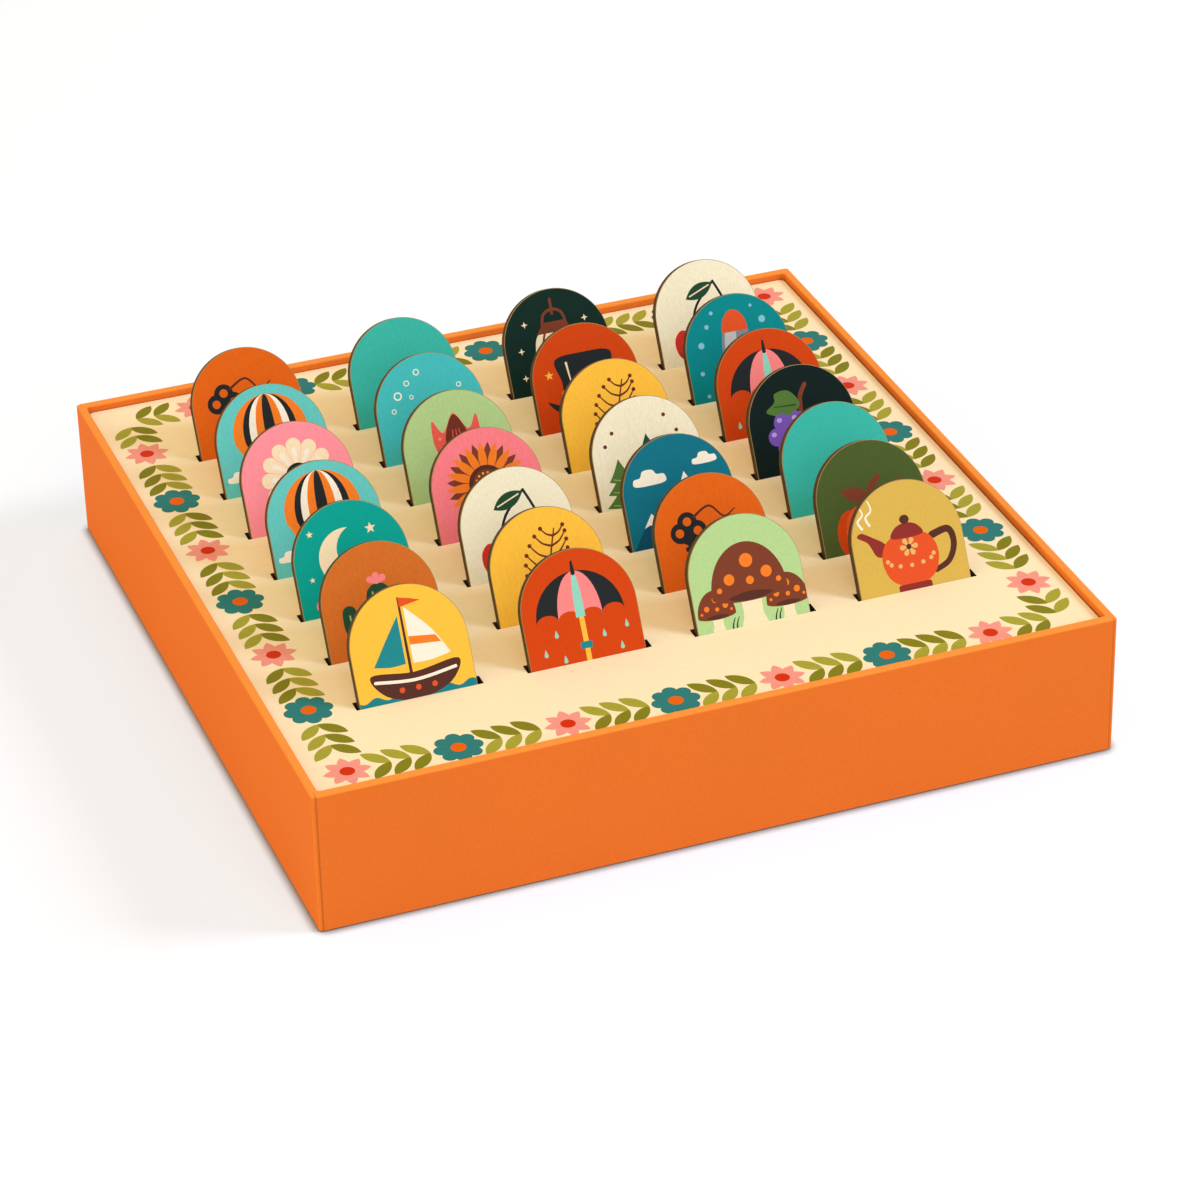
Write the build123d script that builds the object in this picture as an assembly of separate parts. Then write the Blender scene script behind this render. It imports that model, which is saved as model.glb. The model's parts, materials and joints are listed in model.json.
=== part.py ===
from build123d import *
import os
from math import cos, radians, sin, tan

# A memory game: a square tray covered with paper, a slotted board on ribs inside it, and arched
# tiles that stand in the slots and lean back. Millimetres, +Z up, the front of the box towards
# -Y, +X to the right. The origin is the centre of the box's underside.

# The tray
box_side = 240.0
box_height = 44.0
wall_thickness = 2.1
floor_thickness = 2.0
paper_thickness = 0.25
corner_round = 0.8
rim_round = 0.5
base_round = 0.5
inner_corner_round = 1.2
turn_in_depth = 20.0
turn_under_width = 15.0
bottom_sheet_inset = 1.5
lining_gap = 0.6
stay_thickness = 0.2
stay_leg = 18.0
stay_gap = 0.8
box_corners = 4

# The tiles
columns = 4
rows = 7
tile_width = 34.6
tile_thickness = 2.9
tile_shown = 31.9
tile_hidden = 16.0
tile_lean = 28.0
tile_shift = -0.35
tile_foot_round = 1.5
tile_edge_round = 0.2

# The slotted board on top
deck_drop = 2.2
deck_thickness = 2.0
deck_gap = 0.4
deck_corner_round = 1.8
left_margin = 23.0
right_margin = 22.1
front_margin = 37.3
back_margin = 39.1
slot_end_gap = 1.4
slot_front_gap = 0.12
slot_back_gap = 0.88

# The boards, strips and ribs under it
panel_inset = 1.9
panel_corner_round = 3.0
guide_thickness = 2.0
guide_depth = 7.8
guide_gap = 0.12
guide_end_gap = 0.5
rest_thickness = 2.0
foot_gap = 0.1
strip_gap = 1.0
strip_inset = 5.0
rib_thickness = 2.0
rib_inset = 4.0
cross_rib_count = 3
cross_rib_margin = 40.0
lap_gap = 0.1
floor_gap = 0.1

# How far a cutting shape runs past what it cuts, and once round in degrees
overcut = 1.0
full_turn = 360

# Heights in the tray, from the table up
sheet_top = paper_thickness
floor_bottom = sheet_top + paper_thickness
floor_top = floor_bottom + floor_thickness
lining_top = floor_top + paper_thickness
turn_in_bottom = box_height - turn_in_depth
board_top = box_height - paper_thickness

# Widths of the tray, from the outside in
board_outer = box_side - 2 * paper_thickness
board_inner = board_outer - 2 * wall_thickness
tray_inner = board_inner - 2 * paper_thickness

# How the tile leans: its thickness measured level, and the drop from the deck to its lowest corner
lean = radians(tile_lean)
tile_depth = tile_thickness / cos(lean)
foot_drop = tile_hidden * cos(lean) + tile_thickness * sin(lean)
front_step = slot_front_gap / cos(lean)
guide_step = guide_gap / cos(lean)

# The slots and their grid
deck_side = tray_inner - 2 * deck_gap
slot_length = tile_width + 2 * slot_end_gap
slot_width = front_step + tile_depth + slot_back_gap
column_pitch = (deck_side - left_margin - right_margin - slot_length) / (columns - 1)
row_pitch = (deck_side - front_margin - back_margin - slot_width) / (rows - 1)
grid_x = (left_margin - right_margin) / 2
grid_y = (front_margin - back_margin) / 2

# Heights of the insert, from the deck down
deck_top = box_height - deck_drop
deck_bottom = deck_top - deck_thickness
guide_top = deck_top - guide_depth
guide_bottom = guide_top - guide_thickness
rest_top = deck_top - foot_drop - foot_gap
rest_bottom = rest_top - rest_thickness
rib_bottom = lining_top + floor_gap
lap_height = (rib_bottom + rest_bottom) / 2

# Plan sizes of the insert
panel_side = deck_side - 2 * panel_inset
strip_width = column_pitch - slot_length - 2 * strip_gap
strip_length = panel_side - 2 * strip_inset
rib_length = panel_side - 2 * rib_inset
cross_rib_pitch = (panel_side - 2 * cross_rib_margin) / (cross_rib_count - 1)


def block(width, length, bottom, top):
    """A plain block between two heights, centred on the vertical axis."""
    return Pos(0, 0, (bottom + top) / 2) * Box(width, length, top - bottom)


def board(side, radius, bottom, top):
    """A square board with rounded corners, between two heights."""
    return Pos(0, 0, bottom) * extrude(RectangleRounded(side, side, radius), top - bottom)


def round_rims(solid, top_radius, bottom_radius):
    """Round every edge of the top face and of the underside."""
    solid = fillet(solid.faces().sort_by(Axis.Z)[-1].edges(), top_radius)
    return fillet(solid.faces().sort_by(Axis.Z)[0].edges(), bottom_radius)


# The tray


def wrap_paper():
    """The covering paper: outside, over the rim, turned in, and turned under the floor."""
    outside = board(box_side, corner_round, sheet_top, box_height)
    outside -= board(tray_inner, inner_corner_round, turn_in_bottom, box_height)
    outside = round_rims(outside, rim_round, base_round)
    core = board(board_outer, corner_round - paper_thickness, floor_bottom, board_top)
    core -= board(board_inner, inner_corner_round + paper_thickness, turn_in_bottom, board_top)
    core = round_rims(core, rim_round - paper_thickness, base_round - paper_thickness)
    window = box_side - 2 * turn_under_width
    return outside - core - block(window, window, 0, floor_bottom)


def wall_ring():
    """The four wall boards as one ring, before they are cut apart at the corners."""
    ring = board(board_outer, corner_round - paper_thickness, floor_bottom, board_top)
    ring -= block(board_inner, board_inner, floor_bottom, board_top)
    ring = fillet(ring.faces().sort_by(Axis.Z)[-1].edges(), rim_round - paper_thickness)
    bottom_edges = ring.faces().sort_by(Axis.Z)[0].outer_wire().edges()
    return fillet(bottom_edges, base_round - paper_thickness)


def long_wall(ring, side):
    """A wall board that runs the whole width, at the front (-1) or the back (+1)."""
    half = (board_outer - board_inner) / 2
    middle = side * (board_outer + board_inner) / 4
    return ring & (Pos(0, middle, 0) * block(board_outer, half, 0, box_height))


def short_wall(ring, side):
    """A wall board between the other two, on the left (-1) or the right (+1)."""
    half = (board_outer - board_inner) / 2
    middle = side * (board_outer + board_inner) / 4
    return ring & (Pos(middle, 0, 0) * block(half, board_inner, 0, box_height))


def corner_stays():
    """Paper tapes that hold the wall boards together inside the four corners."""
    height = turn_in_bottom - stay_gap - lining_top
    half = board_inner / 2
    leg = Pos(stay_leg / 2, stay_thickness / 2, height / 2)
    angle = leg * Box(stay_leg, stay_thickness, height)
    leg = Pos(stay_thickness / 2, stay_leg / 2, height / 2)
    angle += leg * Box(stay_thickness, stay_leg, height)
    stay = Pos(-half, -half, lining_top) * angle
    turns = [Rot(0, 0, full_turn * corner / box_corners) for corner in range(box_corners)]
    return Compound([turn * stay for turn in turns])


# The insert


def slot_front(row):
    """The front edge of a row of slots on top of the deck, counted from the back."""
    return grid_y + ((rows - 1) / 2 - row) * row_pitch - slot_width / 2


def column_middle(column):
    """The middle of a column of slots, counted from the left."""
    return grid_x + (column - (columns - 1) / 2) * column_pitch


def line_middle(line):
    """The line beside a column that strips and ribs run along, counted from the left."""
    return grid_x + (line - columns / 2) * column_pitch


def deck_slot():
    """A slot at the centre of the deck: its front wall leans with the tile, its back is upright."""
    low = deck_bottom - overcut
    high = deck_top + overcut
    front = -slot_width / 2
    low_front = front - (deck_top - low) * tan(lean)
    high_front = front + (high - deck_top) * tan(lean)
    back = slot_width / 2
    corners = [(low_front, low), (back, low), (back, high), (high_front, high)]
    profile = Plane.YZ * Polygon(*corners, align=None)
    return extrude(profile, slot_length / 2, both=True)


def guide_slot():
    """A slot at the centre of the guide panel, tight on the tile's front below and back above."""
    tile_front = front_step - slot_width / 2
    front = tile_front - (deck_top - guide_bottom) * tan(lean) - guide_step
    back = tile_front - (deck_top - guide_top) * tan(lean) + tile_depth + guide_step
    length = tile_width + 2 * guide_end_gap
    middle = (front + back) / 2
    cut = block(length, back - front, guide_bottom - overcut, guide_top + overcut)
    return Pos(tile_shift, middle, 0) * cut


def cut_slots(panel, slot):
    """Cut the same slot at every place of the grid."""
    slot = Pos(grid_x, grid_y, 0) * slot
    return panel - [place * slot for place in GridLocations(column_pitch, row_pitch, columns, rows)]


def deck_panel():
    """The slotted board that shows."""
    return cut_slots(board(deck_side, deck_corner_round, deck_bottom, deck_top), deck_slot())


def guide_panel():
    """The slotted board below it, set forward, which keeps the tiles at their lean."""
    return cut_slots(board(panel_side, panel_corner_round, guide_bottom, guide_top), guide_slot())


def rest_panel():
    """The board that the tiles' feet stand on."""
    return board(panel_side, panel_corner_round, rest_bottom, rest_top)


def spacer(line, bottom, top):
    """A strip between two boards, beside a column of slots."""
    return Pos(line_middle(line), 0, 0) * block(strip_width, strip_length, bottom, top)


def cross_places():
    """The places of the cross ribs along the riser ribs."""
    return GridLocations(0, cross_rib_pitch, 1, cross_rib_count)


def line_places():
    """The places of the riser ribs along the cross ribs."""
    return GridLocations(column_pitch, 0, columns + 1, 1)


def riser_rib(line):
    """A rib from front to back, notched from above where the cross ribs pass."""
    rib = block(rib_thickness, rib_length, rib_bottom, rest_bottom)
    notch_width = rib_thickness + 2 * lap_gap
    notch = block(rib_thickness + overcut, notch_width, lap_height, rest_bottom + overcut)
    rib -= [place * notch for place in cross_places()]
    return Pos(line_middle(line), 0, 0) * rib


def cross_rib(index):
    """A rib from left to right, notched from below where the riser ribs pass."""
    rib = block(rib_length, rib_thickness, rib_bottom, rest_bottom)
    notch_width = rib_thickness + 2 * lap_gap
    notch = block(notch_width, rib_thickness + overcut, rib_bottom - overcut, lap_height)
    notch = Pos(grid_x, 0, 0) * notch
    rib -= [place * notch for place in line_places()]
    return Pos(0, (index - (cross_rib_count - 1) / 2) * cross_rib_pitch, 0) * rib


# The tiles


def arch():
    """The tile's outline: a square foot with rounded corners, and a half round top."""
    shoulder = tile_shown - tile_width / 2
    height = shoulder + tile_hidden
    body = Pos(0, (shoulder - tile_hidden) / 2) * Rectangle(tile_width, height)
    body = fillet(body.vertices().group_by(Axis.Y)[0], tile_foot_round)
    return body + Pos(0, shoulder) * Circle(tile_width / 2)


def tile(column, row):
    """A tile in its slot, leaning back. Its outline starts where its face meets the deck."""
    foot = (column_middle(column) + tile_shift, slot_front(row) + front_step, deck_top)
    face = Plane(origin=foot, x_dir=(1, 0, 0), z_dir=(0, -cos(lean), sin(lean)))
    flat = extrude(arch(), -tile_thickness)
    return face * fillet(flat.edges().filter_by(Plane.XY), tile_edge_round)


# The pieces, each in its own file

os.makedirs("parts", exist_ok=True)
ring = wall_ring()
inner_floor = board_inner - 2 * lining_gap
bottom_side = box_side - 2 * bottom_sheet_inset

pieces = {
    "wrap_paper": wrap_paper(),
    "front_wall": long_wall(ring, -1),
    "back_wall": long_wall(ring, 1),
    "left_wall": short_wall(ring, -1),
    "right_wall": short_wall(ring, 1),
    "floor_board": block(board_inner, board_inner, floor_bottom, floor_top),
    "bottom_sheet": block(bottom_side, bottom_side, 0, sheet_top),
    "floor_lining": block(inner_floor, inner_floor, floor_top, lining_top),
    "corner_stays": corner_stays(),
    "deck_panel": deck_panel(),
    "guide_panel": guide_panel(),
    "rest_panel": rest_panel(),
}
for line in range(columns + 1):
    pieces[f"upper_spacer_{line + 1}"] = spacer(line, guide_top, deck_bottom)
    pieces[f"lower_spacer_{line + 1}"] = spacer(line, rest_top, guide_bottom)
    pieces[f"riser_rib_{line + 1}"] = riser_rib(line)
for index in range(cross_rib_count):
    pieces[f"cross_rib_{index + 1}"] = cross_rib(index)
for row in range(rows):
    for column in range(columns):
        pieces[f"tile_r{row + 1}_c{column + 1}"] = tile(column, row)

for name, piece in pieces.items():
    export_step(piece, f"parts/{name}.step")
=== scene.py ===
import json
import math

import bpy
from mathutils import Euler, Matrix, Vector
from mathutils.geometry import delaunay_2d_cdt


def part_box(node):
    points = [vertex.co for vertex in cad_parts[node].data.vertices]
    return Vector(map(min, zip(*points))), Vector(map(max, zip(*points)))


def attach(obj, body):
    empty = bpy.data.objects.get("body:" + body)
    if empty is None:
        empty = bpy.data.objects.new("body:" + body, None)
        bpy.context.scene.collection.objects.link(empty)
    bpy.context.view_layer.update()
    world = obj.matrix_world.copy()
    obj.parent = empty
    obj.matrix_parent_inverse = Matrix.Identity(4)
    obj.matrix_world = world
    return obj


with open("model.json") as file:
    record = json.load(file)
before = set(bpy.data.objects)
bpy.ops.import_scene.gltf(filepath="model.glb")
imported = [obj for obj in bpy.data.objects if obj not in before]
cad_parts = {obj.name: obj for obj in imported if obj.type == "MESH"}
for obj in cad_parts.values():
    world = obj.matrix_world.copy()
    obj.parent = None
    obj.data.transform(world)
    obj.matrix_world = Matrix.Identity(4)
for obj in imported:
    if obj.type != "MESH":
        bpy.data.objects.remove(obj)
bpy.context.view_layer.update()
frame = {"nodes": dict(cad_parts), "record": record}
SLOTS = {part["node"]: part["material_slot"] for part in frame["record"]["subparts"]}

MM = 0.001

# Sizes in millimetres, the same as in the part's source

BOX_HALF = 120.0
WALL_HEIGHT = 44.0
RIM_WIDTH = 2.6
RIM_ROUND = 0.5
TURN_IN_DEPTH = 20.0
TILE_HALF = 17.3
TILE_SHOWN = 31.9
TILE_HIDDEN = 16.0
TILE_FOOT_ROUND = 1.5
TILE_LEAN = 28.0

# Printed films and loose paper

FILM_INSET = 0.2
FILM_THICKNESS = 0.05
GARLAND_THICKNESS = 0.03
FLAP_THICKNESS = 0.12
FLAP_INSET = 1.2
FLAP_FOOT = 0.4

# The garland is printed a little out of true, so each side has its own places: how far
# its first flower stands from the middle of the deck, back along the side and out from
# it, the pitch of the flowers, from a flower to its first leaves, and the slant in degrees.
GARLAND_SIDES = {
    "front": (106.0, 107.9, 31.85, 12.45, -0.57),
    "left": (106.05, 106.1, 31.81, 12.45, -0.36),
    "back": (106.7, 108.0, 31.95, 13.5, 0.1),
    "right": (106.7, 107.1, 32.56, 12.85, 0.0),
}
PINK_RADIUS = 6.9
TEAL_RADIUS = 7.15
INNER_LEAF = 6.75
OUTER_LEAF = 6.45
PAIR_PITCH = 5.7
FLOWER_COUNT = 7

TILE_PAINTS = {
    # the grounds
    "orange_paint": (221, 101, 22),
    "turquoise": (100, 201, 199),
    "rose": (252, 148, 163),
    "sea_green": (6, 161, 151),
    "burnt_orange": (206, 111, 41),
    "sun_yellow": (249, 194, 66),
    "teal": (58, 184, 171),
    "sky_blue": (68, 190, 195),
    "light_green": (172, 206, 141),
    "coral_pink": (244, 129, 140),
    "ivory": (239, 236, 209),
    "red_orange": (204, 69, 14),
    "black_green": (16, 44, 37),
    "blue": (16, 115, 137),
    "mint": (176, 212, 146),
    "dark_teal": (5, 136, 143),
    "night": (14, 32, 30),
    "moss": (74, 93, 43),
    "sand": (211, 178, 82),
    # the pictures
    "white": (246, 240, 224),
    "cream": (244, 228, 192),
    "black": (34, 40, 42),
    "dark_brown": (84, 48, 40),
    "brown": (122, 62, 42),
    "red_brown": (110, 48, 34),
    "rust": (150, 70, 40),
    "tan": (224, 184, 110),
    "maroon": (140, 48, 44),
    "orange_red": (222, 84, 40),
    "orange": (240, 128, 40),
    "yellow": (246, 190, 70),
    "blue_green": (34, 136, 146),
    "sea": (28, 128, 140),
    "pale_mint": (140, 214, 196),
    "fir": (30, 78, 56),
    "dark_green": (34, 74, 50),
    "leaf_green": (84, 122, 56),
    "pale_green": (150, 178, 96),
    "lime": (178, 178, 62),
    "pink": (244, 136, 138),
    "coral": (228, 92, 80),
    "red": (206, 50, 40),
    "purple": (122, 86, 190),
    "lilac": (188, 164, 232),
    "grey": (128, 140, 148),
    "light_grey": (186, 194, 196),
    "pale_blue": (130, 196, 214),
    "deep_blue": (14, 80, 110),
}
GARLAND_PAINTS = {
    "petal_pink": (240, 153, 136),
    "petal_teal": (44, 123, 118),
    "eye_red": (208, 48, 6),
    "eye_orange": (230, 99, 4),
    "leaf_light": (165, 161, 52),
    "leaf_dark": (129, 127, 25),
}


# Flat shapes, in millimetres


def arc(x, y, wide, high, start, end, steps):
    """Points along an oval arc between two angles in degrees."""
    points = []
    for step in range(steps + 1):
        angle = math.radians(start + (end - start) * step / steps)
        points.append((x + wide * math.cos(angle), y + high * math.sin(angle)))
    return points


def disc(x, y, wide, high=None):
    """A round shape, or an oval one, of the given half sizes."""
    return arc(x, y, wide, high or wide, 0, 360, 36)[:-1]


def slab(left, low, right, top, radius=0.3):
    """A rectangle with rounded corners."""
    left, low, right, top = left + radius, low + radius, right - radius, top - radius
    outline = []
    for i, (x, y) in enumerate(((right, low), (right, top), (left, top), (left, low))):
        outline += arc(x, y, radius, radius, 90 * i - 90, 90 * i, 6)
    return outline


def moved(outline, x, y=0.0, turn=0.0, scale=1.0):
    """The outline turned by degrees and scaled about its origin, then moved."""
    c = math.cos(math.radians(turn)) * scale
    s = math.sin(math.radians(turn)) * scale
    return [(x + c * px - s * py, y + s * px + c * py) for px, py in outline]


def flipped(outline):
    """The outline mirrored from left to right."""
    return [(-x, y) for x, y in outline]


def bend(before, start, end, after, steps):
    """Points of a curve from start to end that flows on from and to its neighbours."""
    points = []
    for step in range(steps):
        t = step / steps
        weights = (
            -0.5 * t + t * t - 0.5 * t**3,
            1 - 2.5 * t * t + 1.5 * t**3,
            0.5 * t + 2 * t * t - 1.5 * t**3,
            -0.5 * t * t + 0.5 * t**3,
        )
        corners = (before, start, end, after)
        x = sum(weight * corner[0] for weight, corner in zip(weights, corners))
        y = sum(weight * corner[1] for weight, corner in zip(weights, corners))
        points.append((x, y))
    return points


def smooth(points, steps=6):
    """A smooth closed outline through the points."""
    count = len(points)
    outline = []
    for i in range(count):
        corners = [points[(i + k) % count] for k in (-1, 0, 1, 2)]
        outline += bend(*corners, steps)
    return outline


def track(points, steps=6):
    """A smooth open line through the points."""
    ends = [points[0], *points, points[-1]]
    line = []
    for i in range(len(points) - 1):
        line += bend(*ends[i : i + 4], steps)
    return line + [points[-1]]


def headings(line):
    """Every point of a line, with the angle at which the line runs there."""
    for i, (x, y) in enumerate(line):
        ahead = line[min(i + 1, len(line) - 1)]
        behind = line[max(i - 1, 0)]
        yield x, y, math.atan2(ahead[1] - behind[1], ahead[0] - behind[0])


def stroke(points, width, tip=None):
    """A brush line with round ends along the points, which thins to the tip's width."""
    line = track(points) if len(points) > 2 else points
    tip = width if tip is None else tip
    left, right, caps = [], [], []
    for i, (x, y, angle) in enumerate(headings(line)):
        half = (width + (tip - width) * i / (len(line) - 1)) / 2
        left.append((x - half * math.sin(angle), y + half * math.cos(angle)))
        right.append((x + half * math.sin(angle), y - half * math.cos(angle)))
        caps.append((x, y, half, math.degrees(angle)))
    x, y, half, angle = caps[-1]
    far_cap = arc(x, y, half, half, angle - 90, angle + 90, 6)[1:-1]
    x, y, half, angle = caps[0]
    near_cap = arc(x, y, half, half, angle + 90, angle + 270, 6)[1:-1]
    return right + far_cap + left[::-1] + near_cap


def leaf(x, y, length, width, turn, steps=10):
    """A leaf with a point at both ends, which starts at x, y."""
    upper = []
    for step in range(steps + 1):
        t = step / steps
        upper.append((t * length, 2 * t * (1 - t) * width))
    lower = [(px, -py) for px, py in upper[-2:0:-1]]
    return moved(upper + lower, x, y, turn)


def petal(x, y, length, width, turn):
    """A drop, with its point at x, y and a round end."""
    half = width / 2
    outline = [(0, 0)] + arc(length - half, 0, half, half, -100, 100, 14)
    return moved(outline, x, y, turn)


def star(x, y, outer, inner, count, turn=90.0):
    """A star with straight points."""
    outline = []
    for i in range(2 * count):
        radius = inner if i % 2 else outer
        outline += moved([(radius, 0)], x, y, turn + i * 180 / count)
    return outline


def under_wave(top, swell, pitch, shift=0.0, reach=18, foot=-17):
    """All of a tile below a wavy line."""
    outline = [(-reach, foot), (reach, foot)]
    for x in range(reach, -reach - 1, -1):
        outline.append((x, top + swell * math.sin(2 * math.pi * (x + shift) / pitch)))
    return outline


def wreath(ink, count, shape, x, y=0.0, turn=0.0):
    """Copies of a shape in one ink, spread round x, y."""
    return [(ink, moved(shape, x, y, turn + i * 360 / count)) for i in range(count)]


def spots(ink, *places):
    """Dots in one ink, each given as x, y and radius."""
    return [(ink, disc(x, y, radius)) for x, y, radius in places]


def dashes(ink, x, low, step, count, length=1.2, width=0.5):
    """A broken line straight up."""
    starts = [low + step * i for i in range(count)]
    return [(ink, stroke([(x, y), (x, y + length)], width)) for y in starts]


def pair(ink, outline):
    """A shape and its mirror image in one ink."""
    return [(ink, outline), (ink, flipped(outline))]


def cloud(ink, x, y, scale):
    """A small flat-bottomed cloud."""
    left = [(-6.0, -1.4), (-6.2, 1.0), (-3.6, 1.6), (-2.2, 3.8)]
    right = [(1.4, 3.8), (3.0, 2.0), (5.8, 1.6), (6.0, -1.2), (0, -1.8)]
    return [(ink, moved(smooth(left + right), x, y, 0, scale))]


# Pictures for the tiles. Each is a list of inks with their outlines, laid down in turn.
# The middle of a tile is x 0, its top is at y 31.9, and what is below 0 stands in the slot.


def boat():
    """A sailing boat."""
    hull = [(-12.6, 8.2), (0, 7.2), (13.2, 8.6), (10, 2.4), (0, -0.4), (-9.2, 2)]
    sail = track([(0.2, 25.6), (6.8, 18.4), (11.4, 10.6)])
    sail += track([(11.4, 10.6), (5.6, 9.6), (0.2, 9.6)])[1:]
    jib = track([(-2, 23.4), (-6.8, 16.8), (-11.2, 10.4)])
    jib += track([(-11.2, 10.4), (-6.4, 9.6), (-2, 9.8)])[1:]
    picture = [
        ("sea", under_wave(1.6, 0.7, 7)),
        ("dark_brown", smooth(hull)),
        ("white", stroke([(-11.6, 6.2), (0, 5), (12, 6.4)], 0.9)),
        ("dark_brown", stroke([(-0.9, 7), (-0.9, 28.2)], 0.9, 0.6)),
        ("white", sail),
        ("orange", [(0.2, 14.8), (9.2, 14), (7.9, 16.2), (0.2, 17.2)]),
        ("blue_green", jib),
        ("orange_red", [(-0.9, 25.6), (5.4, 26.6), (2.4, 27.6), (-0.9, 28.4)]),
    ]
    picture += spots("orange_red", (-4.4, 2.8, 0.8), (0.4, 2.8, 0.8), (5.2, 2.8, 0.8))
    for x in (-14, -5.4, 3.6, 11):
        picture += [("turquoise", stroke([(x, -1.6), (x + 1.7, -0.8), (x + 3.6, -1.6)], 0.5))]
    return picture


def umbrella():
    """An open umbrella in the rain."""
    scallops = []
    for x in (9.9, 3.3, -3.3, -9.9):
        scallops += arc(x, 12.4, 3.3, 2.2, 0, 180, 8)[:-1]
    handle = [(0.2, 12), (0.2, -4), (-1.2, -7.6), (-4.2, -7.8), (-5.2, -4.8)]
    picture = [
        ("yellow", stroke(handle, 1.5)),
        ("black", arc(0, 12.4, 13.2, 13.2, 180, 0, 28) + scallops[1:]),
        ("pink", arc(0, 12.4, 6.6, 13.2, 180, 0, 20) + scallops[9:24]),
        ("pale_mint", arc(0, 12.4, 1.4, 13.2, 180, 0, 12)),
        ("black", stroke([(0, 25), (0, 28.2)], 1.3, 0.7)),
        ("blue_green", slab(-1.6, 3.4, 2, 5.4, 0.5)),
    ]
    drops = ((-12, 5.3), (-8, 10.1), (-6.6, 2.7), (6, 7.9), (10.6, 3.5), (13, 9.3))
    return picture + [("pale_mint", petal(x, y, 2.3, 1.2, -90)) for x, y in drops]


def mushroom(x, y, scale):
    """One spotted mushroom."""
    stem = [(-2.6, 11), (2.6, 11), (3, 5), (4, 0), (-4, 0), (-3, 5)]
    cap = arc(0, 11.2, 11.6, 14.6, 0, 180, 28) + arc(0, 11.2, 11.6, 2.4, 180, 360, 20)[1:-1]
    gills = [(-6.8, 10.4), (0, 11.6), (6.8, 10.4), (2.8, 9.2), (-2.8, 9.2)]
    picture = [("cream", smooth(stem)), ("brown", cap), ("dark_brown", smooth(gills))]
    picture += spots("orange", (0.4, 20.4, 2), (-5.6, 15.8, 1.6), (5.9, 16.2, 1.7))
    picture += spots("orange", (0.6, 14.6, 1.2), (-9, 13.2, 0.8), (9.2, 13.4, 0.8))
    return [(ink, moved(outline, x, y, 0, scale)) for ink, outline in picture]


def mushrooms():
    """A large mushroom between two small ones."""
    picture = [("leaf_green", under_wave(-1, 0.8, 12, 3))]
    picture += mushroom(-10.6, -1, 0.5) + mushroom(11.2, -1.6, 0.56) + mushroom(0.4, -2, 1)
    for x in (-6.6, -5.4, 6.6, 7.8):
        blade = [(x, -1.6), (x + 0.3, 1), (x + 1.2, 3)]
        picture += [("dark_green", stroke(blade, 0.7, 0.2))]
    return picture


def teapot():
    """A steaming teapot on a tray."""
    spout_low = [(-4.6, 9.8), (-6, 6), (-7, 10.2), (-10.2, 11.4)]
    spout_high = [(-12.2, 15.6), (-15.2, 17.8), (-13.6, 18.8), (-10.2, 16.8), (-7, 14.4)]
    body_top = [(-8.8, 9.6), (-6.4, 15), (0, 16.8), (6.4, 15)]
    body_low = [(8.8, 9.6), (6.6, 3.4), (0, 0.8), (-6.6, 3.4)]
    lid = [(-5, 15.6), (-3.4, 18.4), (0, 19.4), (3.4, 18.4), (5, 15.6), (0, 15)]
    handle = [(7.6, 14.4), (12.8, 15.2), (13.9, 10.8), (11.6, 6.2), (7.2, 4.2)]
    steam = (
        [(-13.2, 20), (-14.2, 22.2), (-12.4, 24), (-13, 26)],
        [(-10.8, 20.6), (-11.6, 23), (-9.6, 24.8), (-10.2, 27.6)],
    )
    picture = [
        ("dark_brown", stroke(handle, 2.2, 1.6)),
        ("maroon", smooth(spout_low + spout_high)),
        ("orange_red", smooth(body_top + body_low)),
        ("maroon", slab(-5.2, -0.6, 5.2, 1.8, 0.7)),
        ("maroon", smooth(lid)),
        ("dark_brown", disc(0, 20.4, 1.5, 1.3)),
    ]
    picture += [("tan", disc(x, y, 0.62)) for x, y in arc(0, 9.2, 7.2, 2.2, 180, 360, 6)]
    picture += wreath("tan", 6, petal(0, 0, 2.8, 1.5, 0), 0, 12.4)
    picture += [("dark_brown", disc(0, 12.4, 0.8))]
    picture += [("white", stroke(line, 0.7, 0.4)) for line in steam]
    return picture + [("dark_brown", slab(-13, -2.6, 13, -1, 0.75))]


def cactus():
    """A flowering cactus on a hill."""
    picture = [
        ("rust", under_wave(-3, 1.4, 40, 4)),
        ("dark_green", stroke([(0, -4), (0, 16.4)], 7.6)),
        ("dark_green", stroke([(-1, 4.6), (-7.6, 5.4), (-9.4, 9), (-9.4, 13.2)], 4.2)),
        ("dark_green", stroke([(1, 1.6), (8, 2.2), (9.8, 5.8), (9.8, 9.4)], 4.2)),
    ]
    for x in (-1.7, 1.7):
        picture += dashes("pale_green", x, -2, 3.1, 7)
    picture += dashes("pale_green", -9.4, 8.6, 2.6, 2)
    picture += dashes("pale_green", 9.8, 4.8, 2.6, 2)
    picture += [("pink", petal(0, 19.8, 3.4, 2, turn)) for turn in (40, 90, 140)]
    return picture


def moon():
    """A crescent moon over two clouds."""
    picture = [("cream", disc(-1, 15.6, 8.6)), ("sea_green", disc(3.4, 17.4, 7.4))]
    places = ((7, 22.6, 1.7), (9.8, 13, 1.2), (3.8, 15.6, 1), (-11, 24, 1.1), (-12.6, 11, 0.9))
    picture += [("cream", star(x, y, size, size * 0.42, 5)) for x, y, size in places]
    picture += cloud("pink", -6.2, 3.4, 1) + cloud("pink", 8.6, 4.6, 0.8)
    picture += [("white", stroke([(-9.6, 2.8), (-6.6, 3.6), (-3.6, 2.8)], 0.5))]
    return picture


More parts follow.
